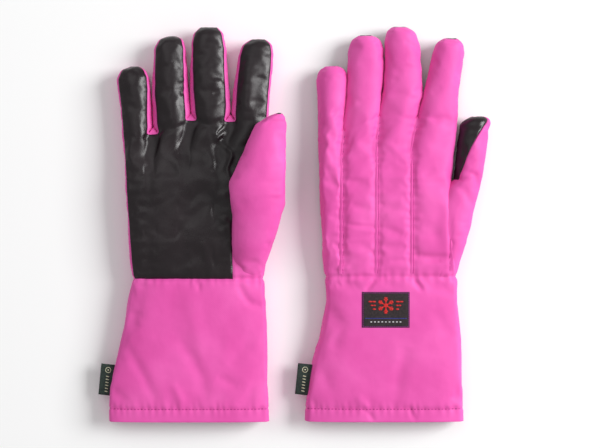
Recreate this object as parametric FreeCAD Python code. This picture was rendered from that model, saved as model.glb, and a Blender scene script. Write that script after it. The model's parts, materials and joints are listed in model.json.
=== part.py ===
import FreeCAD, Part
import math
import os

# A pair of mid-arm cryogenic gloves that lie flat on a table. The right-hand glove lies palm side up, the
# left-hand glove back side up. Millimetres. The origin is under the middle of the pair, on the table. +Y runs
# to the fingertips, +X to the left-hand glove and +Z up. Each glove is laid out from the middle of its own
# wrist seam: u across to the right, v towards the fingertips, z up from the table.

# ---- driving dimensions ----

SHELL = 1.2  # outer fabric and grip panel
INSULATION = 3.4  # padding between shell and liner
LINER = 0.8  # inner lining
ROOM = 0.3  # clearance between pieces that move past each other
LABEL_THICK = 0.6
LABEL_RISE = 0.4  # the label's top over the cuff's flat part, where the cuff rises to the wrist

INSETS = (0.0, SHELL, SHELL + INSULATION, SHELL + INSULATION + LINER)

FINGER_THICK = 25.0
KNUCKLE_THICK = 26.0
PALM_THICK = 30.0
WRIST_THICK = 27.0
CUFF_THICK = 26.0
HEM_THICK = 24.0
EDGE_ROUND = 10.5  # radius of the long edges of the flattened tubes
EDGE_ROUND_SHARE = 0.42  # that radius is at most this share of a tube's height
TIP_DROP = 4.5  # how much a finger thins on each face at its tip
TABLE_CUT = 0.05  # taken off the hand's underside, to leave one flat face on the table

WRIST_BEND = 40.0  # degrees, limits of the joints that need room cut for them
THUMB_OPEN = 35.0
THUMB_CLOSE = 12.0
SWING_ROOM = 0.5  # degrees of room past those limits

FINGERS = ("little", "ring", "middle", "index")

# One entry per glove. A finger is (hinge v, tip v, base left, base right, shoulder left, shoulder right,
# tip left, tip right): it is full from base to shoulder and slopes in to its flat tip.
GLOVES = {
    "right": {
        "palm_up": True,
        "wrist": (-92.8, -52.5),
        "fingers": {
            "little": (140.0, 205.0, -73.4, -43.4, -77.5, -46.5, -71.5, -52.5),
            "ring": (153.0, 234.0, -42.6, -7.8, -43.0, -12.4, -37.5, -17.5),
            "middle": (153.0, 243.0, -6.8, 30.3, -7.0, 26.5, -1.5, 20.5),
            "index": (160.5, 230.0, 31.1, 67.5, 39.0, 72.0, 49.0, 69.5),
        },
        # (v, left, right) of the hand from the wrist to the knuckles
        "hand": ((-6.0, -63.4, 63.2), (70.0, -68.6, 61.5), (100.0, -70.6, 60.5), (168.0, -73.4, 67.5)),
        # u of the two steps up of the knuckle line
        "steps": (-43.0, 30.7),
        # (v, left, right) of the cuff from the wrist to the hem
        "cuff": ((6.0, -63.4, 63.4), (-22.6, -68.2, 65.3), (-68.6, -77.8, 66.4), (-103.0, -85.0, 67.2),
                 (-138.2, -85.9, 68.2)),
        # (v, left, right, low, high) of the thumb's root, which grows out of the hand
        "thumb_root": ((4.0, 36.0, 60.0, 3.0, 26.0), (45.0, 33.0, 76.5, 10.0, 44.0),
                       (92.0, 30.5, 84.5, 24.0, 55.0)),
        # (v, left, right, low, high) of the moving thumb from its root to its tip
        "thumb": ((80.0, 30.5, 84.5, 31.0, 55.0), (112.0, 38.0, 84.5, 31.0, 54.0),
                  (146.4, 55.5, 84.5, 31.0, 52.0), (158.0, 66.0, 81.0, 35.0, 48.0)),
        "thumb_hinge": (70.0, 86.0),
        "thumb_close": THUMB_CLOSE,
        "cuff_low": LABEL_THICK,
        "label": (-22.75, 22.75, -48.5, -14.5),
        "tab": (-79.5, -98.5, 6.0),
    },
    "left": {
        "palm_up": False,
        "wrist": (93.2, -50.5),
        "fingers": {
            "little": (140.0, 203.5, -71.2, -47.6, -72.2, -44.9, -67.0, -48.2),
            "ring": (153.0, 233.2, -45.8, -12.4, -41.2, -9.2, -36.5, -16.5),
            "middle": (153.0, 241.4, -11.4, 23.8, -6.0, 27.0, -2.5, 19.0),
            "index": (160.5, 230.0, 25.0, 65.5, 40.0, 70.5, 46.5, 67.5),
        },
        "hand": ((-6.0, -63.6, 63.6), (70.0, -69.6, 58.0), (95.0, -70.6, 57.5), (150.0, -71.5, 64.0),
                 (168.0, -72.0, 66.5)),
        "steps": (-46.6, 24.6),
        "cuff": ((6.0, -63.6, 63.6), (-24.0, -63.8, 64.0), (-58.6, -69.6, 65.8), (-81.6, -76.3, 66.8),
                 (-116.0, -82.0, 67.7), (-140.0, -83.0, 68.6)),
        "thumb_root": ((4.0, 36.0, 60.0, 2.0, 24.0), (45.0, 40.0, 75.5, 0.0, 26.0),
                       (92.0, 58.5, 86.5, 0.0, 25.0)),
        "thumb": ((80.0, 58.5, 85.5, 0.0, 25.0), (104.0, 60.5, 89.0, 0.0, 25.0),
                  (142.0, 66.0, 94.6, 0.0, 24.0), (155.0, 71.5, 90.0, 4.5, 19.5)),
        "thumb_hinge": (76.0, 86.0),
        "thumb_close": 0.0,
        "cuff_low": 0.0,
        "label": (-28.7, 16.8, -48.5, -14.4),
        "tab": (-77.5, -100.2, 6.0),
    },
}

BIG = 600.0  # larger than the glove, for cutting solids
SHOULDER_LENGTH = 13.0  # of the sloped part of a fingertip
TAB_SIZE = (14.0, 30.0, 2.0)
TAB_SEWN = 4.0  # width of the tab that is caught in the seam
GRIP_DEPTH = 7.0  # how far the grip panel wraps round the palm side of a finger
PALM_GRIP_DEPTH = 6.0
PALM_GRIP_EDGE = 33.0  # the palm panel ends here, beside the thumb gusset


# ---- shapes ----

def box(u0, u1, v0, v1, z0, z1):
    """A block between two corners."""
    return Part.makeBox(u1 - u0, v1 - v0, z1 - z0, FreeCAD.Vector(u0, v0, z0))


def section(v, left, right, low, high, inset):
    """A rounded rectangle across the glove at v, pulled in by inset on every side."""
    left, right = left + inset, right - inset
    low, high = low + inset, high - inset
    radius = min(EDGE_ROUND, (high - low + 2 * inset) * EDGE_ROUND_SHARE) - inset
    corners = (
        (right - radius, high - radius, 0.0),
        (left + radius, high - radius, 90.0),
        (left + radius, low + radius, 180.0),
        (right - radius, low + radius, 270.0),
    )
    edges, ends = [], []
    for cu, cz, start in corners:
        points = []
        for step in range(3):
            angle = math.radians(start + 45.0 * step)
            points.append(FreeCAD.Vector(cu + radius * math.cos(angle), v, cz + radius * math.sin(angle)))
        ends.append((points[0], points[2]))
        edges.append(Part.Arc(*points).toShape())
    outline = []
    for i, arc in enumerate(edges):
        outline.append(arc)
        outline.append(Part.makeLine(ends[i][1], ends[(i + 1) % 4][0]))
    return Part.Wire(outline)


def tube(stations, inset, closed=False):
    """A flattened tube through stations (v, left, right, low, high). A closed one ends in a wall."""
    wires = []
    for i, (v, left, right, low, high) in enumerate(stations):
        if closed and i == len(stations) - 1:
            v -= inset
        wires.append(section(v, left, right, low, high, inset))
    return Part.makeLoft(wires, True, True)


def nested(stations, closed=False):
    """The outer surface, the shell's inner face, the insulation's inner face and the liner's inner face."""
    return [tube(stations, inset, closed) for inset in INSETS]


def layers(forms):
    """Shell, insulation and liner: each is one form less the next one in."""
    return [outer.cut(inner) for outer, inner in zip(forms, forms[1:])]


def beyond(v):
    """Everything on the fingertip side of v."""
    return box(-BIG, BIG, v, BIG, -BIG, BIG)


def palm_side(glove, depth, top):
    """The side of a tube of height top that is grip panel, with depth for its wrapped edges."""
    if glove["palm_up"]:
        return box(-BIG, BIG, -BIG, BIG, top - depth, BIG)
    return box(-BIG, BIG, -BIG, BIG, -BIG, depth)


# ---- sub-parts ----

def finger(glove, name):
    """A finger: shell, grip, insulation and liner, closed at the tip and open at the knuckle."""
    hinge, tip, base_left, base_right, full_left, full_right, tip_left, tip_right = glove["fingers"][name]
    stations = (
        (hinge, base_left, base_right, 0.0, FINGER_THICK),
        (hinge + ROOM, base_left, base_right, 0.0, FINGER_THICK),
        (tip - SHOULDER_LENGTH, full_left, full_right, 0.0, FINGER_THICK),
        (tip, tip_left, tip_right, TIP_DROP, FINGER_THICK - TIP_DROP),
    )
    own_side = beyond(hinge + ROOM / 2.0)
    skin, insulation, liner = [layer.common(own_side) for layer in layers(nested(stations, closed=True))]
    grip_side = palm_side(glove, GRIP_DEPTH, FINGER_THICK)
    return {
        name + "_shell": skin.cut(grip_side),
        name + "_grip": skin.common(grip_side),
        name + "_insulation": insulation,
        name + "_liner": liner,
    }


def thumb(glove):
    """The moving part of the thumb: shell, grip pad, insulation and liner, closed at the tip."""
    stations = glove["thumb"]
    hinge_v = glove["thumb_hinge"][1]
    own_side = beyond(hinge_v + ROOM / 2.0)
    skin, insulation, liner = [layer.common(own_side) for layer in layers(nested(stations, closed=True))]
    low = min(station[3] for station in stations)
    high = max(station[4] for station in stations)
    if glove["palm_up"]:
        pad_side = box(-BIG, BIG, -BIG, BIG, -BIG, low + GRIP_DEPTH)
    else:
        pad_side = box(-BIG, BIG, -BIG, BIG, high - GRIP_DEPTH, BIG)
    return {
        "thumb_shell": skin.cut(pad_side),
        "thumb_grip": skin.common(pad_side),
        "thumb_insulation": insulation,
        "thumb_liner": liner,
    }


def knuckle_line(glove):
    """The hand's own space: its far end steps up from finger to finger, and its near end is the wrist."""
    ends = [glove["fingers"][name][0] for name in FINGERS]
    first_step, second_step = glove["steps"]
    space = box(-BIG, first_step, 0.0, ends[0] - ROOM / 2.0, -BIG, BIG)
    space = space.fuse(box(first_step, second_step, 0.0, ends[1] - ROOM / 2.0, -BIG, BIG))
    return space.fuse(box(second_step, BIG, 0.0, ends[3] - ROOM / 2.0, -BIG, BIG))


def thumb_notch(glove):
    """Room for the thumb to swing: two wedges that meet at the thumb's hinge, one on each side of it."""
    hinge_u, hinge_v = glove["thumb_hinge"]
    face_v = hinge_v - ROOM / 2.0
    outward = BIG * math.tan(math.radians(THUMB_OPEN + SWING_ROOM))
    inward = BIG * math.tan(math.radians(glove["thumb_close"] + SWING_ROOM))
    outline = (
        (hinge_u, face_v),
        (hinge_u + BIG, face_v - outward),
        (hinge_u + BIG, BIG),
        (hinge_u - BIG, BIG),
        (hinge_u - BIG, face_v - inward),
    )
    corners = [FreeCAD.Vector(u, v, -BIG) for u, v in outline]
    face = Part.Face(Part.makePolygon(corners + corners[:1]))
    return face.extrude(FreeCAD.Vector(0.0, 0.0, 2 * BIG))


def hand(glove):
    """The hand with the thumb's root: back, palm grip, thumb gusset, insulation and liner."""
    outline = glove["hand"]
    heights = [WRIST_THICK] + [PALM_THICK] * (len(outline) - 2) + [KNUCKLE_THICK]
    stations = [(v, left, right, -TABLE_CUT, height) for (v, left, right), height in zip(outline, heights)]
    notch = thumb_notch(glove)
    above_table = box(-BIG, BIG, -BIG, BIG, 0.0, BIG)
    roots = [form.cut(notch) for form in nested(glove["thumb_root"])]
    slabs = nested(stations)
    slabs[0] = slabs[0].common(above_table)
    space = knuckle_line(glove)
    forms = [slab.common(space).fuse(root.common(space)) for slab, root in zip(slabs, roots)]
    skin, insulation, liner = layers(forms)
    gusset = skin.cut(slabs[0])
    rest = skin.common(slabs[0])
    if glove["palm_up"]:
        grip_side = box(-BIG, BIG, -BIG, BIG, WRIST_THICK - PALM_GRIP_DEPTH, BIG)
        beside_thumb = box(PALM_GRIP_EDGE, BIG, -BIG, glove["thumb_hinge"][1], -BIG, BIG)
        grip_side = grip_side.cut(beside_thumb)
    else:
        grip_side = box(-BIG, BIG, -BIG, BIG, -BIG, PALM_GRIP_DEPTH)
    return {
        "hand_back": rest.cut(grip_side),
        "palm_grip": rest.common(grip_side),
        "thumb_gusset": gusset,
        "hand_insulation": insulation,
        "hand_liner": liner,
    }


def wrist_space(glove):
    """The cuff's own space: its wrist end is a ridge on the wrist hinge, so that it can fold both ways."""
    middle = WRIST_THICK / 2.0
    slope = math.tan(math.radians(WRIST_BEND + SWING_ROOM))
    outline = ((-ROOM, middle), (-ROOM - BIG * slope, middle + BIG), (-BIG * 2, middle + BIG),
               (-BIG * 2, middle - BIG), (-ROOM - BIG * slope, middle - BIG))
    corners = [FreeCAD.Vector(-BIG, v, z) for v, z in outline]
    face = Part.Face(Part.makePolygon(corners + corners[:1]))
    return face.extrude(FreeCAD.Vector(2 * BIG, 0.0, 0.0))


def cuff(glove):
    """The gauntlet cuff: shell turned in at the hem, insulation, liner, label patch and side tab."""
    low = glove["cuff_low"]
    outline = glove["cuff"]
    last = len(outline) - 1
    stations = []
    heights = [WRIST_THICK] + [CUFF_THICK] * (last - 1) + [HEM_THICK]
    for (v, left, right), height in zip(outline, heights):
        stations.append((v, left, right, low, height))
    space = wrist_space(glove)
    outer, shell_face, insulation_face, cavity = [form.common(space) for form in nested(stations)]
    hem_v = outline[last][0] + SHELL
    above_hem = beyond(hem_v)
    shell = outer.cut(shell_face.common(above_hem)).cut(cavity)
    insulation = shell_face.cut(insulation_face).common(above_hem)
    liner = insulation_face.cut(cavity).common(above_hem)
    return {
        "cuff_shell": shell,
        "cuff_insulation": insulation,
        "cuff_liner": liner,
        "label_patch": label(glove, outer),
        "side_tab": side_tab(glove, outer),
    }


def label(glove, outer):
    """A woven patch on the back of the cuff."""
    u0, u1, v0, v1 = glove["label"]
    if glove["palm_up"]:
        return box(u0, u1, v0, v1, 0.0, LABEL_THICK)
    return box(u0, u1, v0, v1, CUFF_THICK, CUFF_THICK + LABEL_THICK + LABEL_RISE).cut(outer)


def side_tab(glove, outer):
    """A folded tape tab that stands out of the little-finger side seam."""
    seam_u, middle_v, tilt = glove["tab"]
    width, length, thick = TAB_SIZE
    level = (glove["cuff_low"] + CUFF_THICK) / 2.0
    tab = Part.makeBox(width + TAB_SEWN, length, thick, FreeCAD.Vector(-width, -length / 2.0, -thick / 2.0))
    tab.rotate(FreeCAD.Vector(0, 0, 0), FreeCAD.Vector(0, 0, 1), tilt)
    tab.translate(FreeCAD.Vector(seam_u, middle_v, level))
    return tab.cut(outer)


# ---- the pair ----

def main():
    os.makedirs("parts", exist_ok=True)
    for side, glove in GLOVES.items():
        pieces = {}
        pieces.update(hand(glove))
        pieces.update(cuff(glove))
        pieces.update(thumb(glove))
        for name in FINGERS:
            pieces.update(finger(glove, name))
        wrist_x, wrist_y = glove["wrist"]
        for name, shape in pieces.items():
            shape = shape.copy()
            shape.translate(FreeCAD.Vector(wrist_x, wrist_y, 0.0))
            node = side + "_" + name
            print(node, shape.isValid(), len(shape.Solids), round(shape.Volume))
            shape.exportStep(os.path.join("parts", node + ".step"))


main()
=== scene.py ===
import json
import math

import bpy
import numpy as np
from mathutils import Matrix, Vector, noise
from mathutils.bvhtree import BVHTree


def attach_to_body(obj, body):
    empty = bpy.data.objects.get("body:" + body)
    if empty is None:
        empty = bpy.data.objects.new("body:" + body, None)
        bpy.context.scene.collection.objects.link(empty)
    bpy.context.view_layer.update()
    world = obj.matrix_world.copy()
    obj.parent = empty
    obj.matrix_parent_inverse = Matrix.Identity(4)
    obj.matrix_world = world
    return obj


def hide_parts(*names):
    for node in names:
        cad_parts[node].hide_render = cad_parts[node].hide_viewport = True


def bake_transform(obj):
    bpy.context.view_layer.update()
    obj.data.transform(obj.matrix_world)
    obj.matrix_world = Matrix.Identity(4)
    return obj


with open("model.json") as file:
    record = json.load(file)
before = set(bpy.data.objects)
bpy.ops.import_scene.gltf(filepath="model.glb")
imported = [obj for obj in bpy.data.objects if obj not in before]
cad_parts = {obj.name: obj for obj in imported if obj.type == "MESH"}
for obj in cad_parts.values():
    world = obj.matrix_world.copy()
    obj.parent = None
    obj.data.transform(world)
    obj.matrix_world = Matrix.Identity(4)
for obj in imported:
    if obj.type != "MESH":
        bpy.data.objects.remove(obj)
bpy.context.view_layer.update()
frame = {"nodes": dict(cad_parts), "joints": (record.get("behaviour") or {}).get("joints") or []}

# A pair of insulated gauntlet gloves that lie flat: the right-hand glove palm up, the left-hand glove back up.
# Each glove is laid out in millimetres from the middle of its own wrist seam: u to the right, v to the
# fingertips, z up from the table. Outlines are (v, u) points from the root of a part to its tip.

MM = 0.001
JOINTS = {joint["name"]: joint for joint in frame["joints"]}
FINGERS = ("little", "ring", "middle", "index")

# ---- columns and rows of the skin's grid ----

PANEL_COLUMNS = 12  # across the palm or back panel of one finger
WEB_COLUMNS = 2  # across the fabric between two fingers
SIDE_COLUMNS = 5  # down a side wall, between the two panels
HAND_ROWS = 50
FINGER_ROWS = 28
TIP_ROWS = 8
CUFF_ROWS = 46

GLOVES = {
    "right": {
        "palm_up": True,
        # how far the side walls show beside the panels between two fingers, and the share lost by the fingertip
        "strip": (4.4, 0.74),
        "hand_left": ((0, -63.4), (30, -66.0), (80, -69.3), (139.7, -73.4)),
        "hand_right": ((0, 63.2), (40, 62.0), (100, 61.5), (140, 66.0), (152, 67.7)),
        "crotches": ((-43.6, 139.7), (-7.0, 152.8), (30.7, 151.7)),
        "starts": (136.0, 152.0),
        "seams": (-47.0, -12.5, 21.5),
        "left": {
            "little": ((136, -73.3), (165, -76.0), (185, -78.2), (192, -78.7), (201.3, -74.6), (204.6, -66)),
            "ring": ((139.7, -43.4), (175, -45.4), (206, -44.2), (222, -43.0), (231.5, -37.5), (234, -30)),
            "middle": ((152.8, -6.8), (182, -8.6), (205, -8.5), (226, -7.4), (237, -4.8), (243, 2)),
            "index": ((151.7, 30.9), (166, 32.0), (190, 34.6), (214, 38.2), (225, 42.5), (231, 52)),
        },
        "right": {
            "little": ((139.7, -43.8), (160, -45.2), (181, -46.0), (194, -47.7), (202, -51.7), (205, -58)),
            "ring": ((152.8, -7.2), (182, -9.8), (205, -11.0), (222, -12.4), (231.5, -15.0), (234.2, -22)),
            "middle": ((151.7, 30.5), (166, 31.0), (190, 29.2), (220, 27.4), (237, 24.0), (243, 18)),
            "index": ((152, 67.7), (175, 69.2), (200, 71.4), (217, 72.4), (226, 71.0), (231, 64)),
        },
        "thumb_left": ((0, 33.0), (30, 32.6), (70, 32.0), (92, 30.6), (120, 43.6), (146.4, 56.0), (154, 66.5), (158, 77)),
        "thumb_right": ((0, 62.9), (13.2, 65.4), (37.5, 74.5), (71.5, 84.0), (110, 84.8), (148, 84.6), (155, 83.6), (158, 80)),
        "thumb_top": ((0, 22.0), (12, 29.0), (30, 38.0), (55, 47.0), (80, 52.5), (110, 54.0), (140, 52.0), (158, 45.0)),
        "thumb_bottom": ((0, 6.0), (30, 8.0), (60, 14.0), (80, 24.0), (93, 31.5), (120, 32.0), (158, 38.0)),
        "thumb_split": 70.0,
        "cuff_left": ((0, -63.4), (5, -63.8), (22.6, -68.2), (45.6, -72.4), (68.6, -77.8), (80, -80.6), (103, -85.0),
                      (120, -86.0), (138.2, -85.9)),
        "cuff_right": ((0, 63.2), (5, 63.6), (22.6, 65.3), (45.6, 66.2), (103, 67.2), (138.2, 68.2)),
    },
    "left": {
        "palm_up": False,
        "strip": (2.2, 0.3),
        "hand_left": ((0, -63.8), (30, -67.0), (62, -69.0), (86, -70.4), (125, -70.8), (139.7, -70.6)),
        "hand_right": ((0, 63.6), (40, 60.5), (80, 58.5), (95, 59.5), (130, 63.0), (152, 64.9)),
        "crotches": ((-46.4, 139.7), (-12.0, 153.0), (24.6, 151.7)),
        "starts": (136.0, 150.0),
        "seams": (-47.7, -14.2, 19.4),
        "left": {
            "little": ((136, -70.7), (160, -71.4), (190, -72.2), (197, -70.6), (202, -66.5), (203.4, -60)),
            "ring": ((139.7, -46.2), (170, -43.6), (196, -42.2), (216, -41.2), (229, -37.0), (233.2, -30)),
            "middle": ((153, -11.7), (180, -8.2), (207, -6.2), (226, -5.8), (237, -3.4), (241.4, 2)),
            "index": ((151.7, 24.9), (173.8, 30.8), (196, 36.0), (214, 40.0), (225, 44.5), (230, 52)),
        },
        "right": {
            "little": ((139.7, -46.6), (170, -44.2), (190, -43.0), (196, -43.4), (201.6, -47.4), (203.4, -53)),
            "ring": ((153, -12.3), (180, -8.8), (207, -7.0), (220, -7.8), (230, -12.0), (233.2, -20)),
            "middle": ((151.7, 24.3), (173.8, 30.2), (200, 29.2), (224, 26.8), (236, 22.6), (241.4, 14)),
            "index": ((150, 64.9), (180, 66.7), (200, 69.0), (216, 71.0), (225, 69.6), (230, 63)),
        },
        "thumb_left": ((0, 34.0), (40, 36.0), (66, 41.0), (84, 51.0), (94, 60.4), (110, 62.4), (130, 64.6),
                       (147, 66.6), (152, 72), (155, 79)),
        "thumb_right": ((0, 62.0), (3.2, 63.7), (15.4, 66.5), (31.7, 73.2), (69.3, 81.0), (103.7, 88.6), (140.4, 94.4),
                        (149, 96.2), (153.5, 94.0), (155, 88)),
        "thumb_top": ((0, 25.0), (14, 27.6), (50, 29.2), (80, 28.4), (110, 25.5), (140, 24.0), (155, 18.0)),
        "thumb_bottom": ((0, 4.0), (20, 1.5), (60, 0.0), (140, 0.0), (155, 6.0)),
        "thumb_split": 72.0,
        "cuff_left": ((0, -63.8), (24, -63.6), (41, -65.8), (58.6, -69.6), (70, -73.4), (81.6, -76.3), (116, -82.0),
                      (140, -83.0)),
        "cuff_right": ((0, 63.6), (24, 64.3), (60, 66.9), (100, 69.2), (140, 70.2)),
    },
}

FINGER_THICK = 25.0
PALM_THICK = 30.0
WRIST_THICK = 26.0
CUFF_THICK = 26.0
HEM_THICK = 24.0


# ---- helpers ----

def smooth(t):
    """A step from 0 to 1 that starts and ends level."""
    t = np.clip(t, 0.0, 1.0)
    return t * t * (3.0 - 2.0 * t)


def along(points, v):
    """The value at v of an outline given as (v, value) points."""
    table = np.array(points, float)
    return np.interp(v, table[:, 0], table[:, 1])


class Skin:
    """A mesh made of patches of quads. Patches that share an edge are welded, and each face has a label."""

    def __init__(self):
        self.points, self.faces, self.labels = [], [], []
        self.count = 0

    def patch(self, grid, label):
        """Adds a grid of points, shaped rows x columns x 3. A label is one name, or one per column of faces."""
        grid = np.asarray(grid, float)
        rows, columns = grid.shape[:2]
        number = self.count + np.arange(rows * columns).reshape(rows, columns)
        self.points.append(grid.reshape(-1, 3))
        self.count += rows * columns
        a, b, c, d = number[:-1, :-1], number[:-1, 1:], number[1:, 1:], number[1:, :-1]
        quads = np.stack([a, b, c, d], axis=-1).reshape(-1, 4)
        self.faces.append(quads)
        names = [label] * (columns - 1) if isinstance(label, str) else list(label)
        self.labels += names * (rows - 1)

    def welded(self):
        """Points, faces without repeated corners, and labels, with points at one place made one."""
        points = np.concatenate(self.points)
        quads = np.concatenate(self.faces)
        keys = np.round(points / WELD).astype(np.int64)
        _, first, same = np.unique(keys, axis=0, return_index=True, return_inverse=True)
        same = same.reshape(-1)
        faces, labels = [], []
        for quad, label in zip(same[quads], self.labels):
            ring = []
            for corner in quad:
                if corner not in ring:
                    ring.append(int(corner))
            if len(ring) > 2:
                faces.append(ring)
                labels.append(label)
        return points[first], faces, labels


WELD = 0.02

# ---- sections of the gloves ----

CROWN = 5.5  # a finger panel's height over its seams
HAND_DROP = 5.0  # how far the palm falls away to its side seams
OUTER_STRIP = 1.3  # the side wall shows this much beside the palm panel on the outer edges
BACK_STRIP = 3.0
TOUCH = 0.9  # how much further the walls between two fingers bulge on the back-up glove, where they touch
TIP_WRAP = math.radians(22.0)  # how far the palm panel wraps over the fingertip towards the back
CHANNEL_PUFF = 2.0  # height of the quilted channels on the back
RIDGE = 0.7  # height of the pinch seams on the back
RIDGE_HALF = 1.5
WEB_PALM, WEB_BACK = 12.0, 9.0  # how far the web stands forward between two fingers at half height
CROTCH_PALM, CROTCH_BACK = 8.0, 2.5  # length of the rounded opening at the root of two fingers, by the upper face


def curve(a, b, outward, count, amount, axis=0):
    """Points from a to b that bow outward along one axis. a and b are rows x 3, the result is rows x count+1 x 3."""
    q = np.linspace(0.0, 1.0, count + 1)
    line = a[:, None, :] * (1 - q[None, :, None]) + b[:, None, :] * q[None, :, None]
    line[:, :, axis] += outward * amount[:, None] * np.sin(np.pi * q)[None, :] ** 0.75
    return line


def panel_u(left, right, count):
    """Column places across a panel, a little closer together near its seams."""
    q = np.linspace(0.0, 1.0, count + 1)
    q = q - 0.35 * np.sin(2 * np.pi * q) / (2 * np.pi)
    return left[:, None] * (1 - q) + right[:, None] * q, q


def finger_grids(glove, name):
    """Top, right side, bottom and left side grids of a finger, from the crotch row to the seam over its tip."""
    index = FINGERS.index(name)
    left, right = glove["left"][name], glove["right"][name]
    start_left = glove["starts"][0] if index == 0 else glove["crotches"][index - 1][1]
    start_right = glove["starts"][1] if index == 3 else glove["crotches"][index][1]
    tip = max(left[-1][0], right[-1][0])
    shoulder = tip - 11.0
    t = np.linspace(0.0, 1.0, FINGER_ROWS + 1)
    psi = np.linspace(0.0, 1.0, TIP_ROWS + 1)[1:]
    wrap = -TIP_WRAP if glove["palm_up"] else TIP_WRAP
    angle_top = math.pi / 2 + (wrap - math.pi / 2) * psi
    angle_bottom = -math.pi / 2 + (wrap + math.pi / 2) * psi
    rise = {}
    for side, angle in (("top", angle_top), ("bottom", angle_bottom)):
        reach = np.concatenate([np.zeros(FINGER_ROWS + 1), np.cos(angle)])
        lift = np.concatenate([np.full(FINGER_ROWS + 1, 1.0 if side == "top" else -1.0), np.sin(angle)])
        rise[side] = (reach, lift)
    inner_left, inner_right = index > 0, index < 3
    rows = FINGER_ROWS + 1 + TIP_ROWS
    grids = {}
    seams = {}
    progress = np.concatenate([t, np.ones(TIP_ROWS)])
    strip_width, strip_taper = glove["strip"]
    inner_strip = strip_width * (1.0 - strip_taper * progress ** 1.3)
    for side in ("top", "bottom"):
        reach, lift = rise[side]
        strip = OUTER_STRIP if (side == "top") == glove["palm_up"] else BACK_STRIP
        v_left = np.concatenate([start_left + (shoulder - start_left) * t, np.full(TIP_ROWS, shoulder)])
        v_right = np.concatenate([start_right + (shoulder - start_right) * t, np.full(TIP_ROWS, shoulder)])
        v_left = v_left + (tip - shoulder) * reach
        v_right = v_right + (tip - shoulder) * reach
        fullness = np.abs(lift) ** 0.8
        u_left = along(left, v_left) + (inner_strip if inner_left else strip) * fullness
        u_right = along(right, v_right) - (inner_strip if inner_right else strip) * fullness
        u, q = panel_u(u_left, u_right, PANEL_COLUMNS)
        v = v_left[:, None] * (1 - q) + v_right[:, None] * q
        half = (FINGER_THICK - 2.0 * progress) / 2.0
        x = 2 * q - 1
        height = half[:, None] - CROWN * np.abs(x[None, :]) ** 2.4
        z = FINGER_THICK / 2.0 + lift[:, None] * height
        grid = np.stack([u, v, z], axis=-1)
        grids[side] = grid
        seams[side] = (grid[:, 0], grid[:, -1])
    mouth = CROTCH_PALM if glove["palm_up"] else CROTCH_BACK
    bow = np.concatenate([smooth(t * (shoulder - start_left) / mouth), np.ones(TIP_ROWS)])
    fade = np.concatenate([np.ones(FINGER_ROWS + 1), np.cos(psi * math.pi / 2) ** 0.8])
    inner_bow = inner_strip * bow + (0.0 if glove["palm_up"] else TOUCH * bow)
    amount_left = (inner_bow if inner_left else np.full(rows, 2.0)) * fade
    amount_right = (inner_bow if inner_right else np.full(rows, 2.0)) * fade
    grids["right"] = curve(seams["top"][1], seams["bottom"][1], 1.0, SIDE_COLUMNS, amount_right)
    grids["left"] = curve(seams["bottom"][0], seams["top"][0], -1.0, SIDE_COLUMNS, amount_left)
    grids["bottom"] = grids["bottom"][:, ::-1]
    return grids


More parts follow.
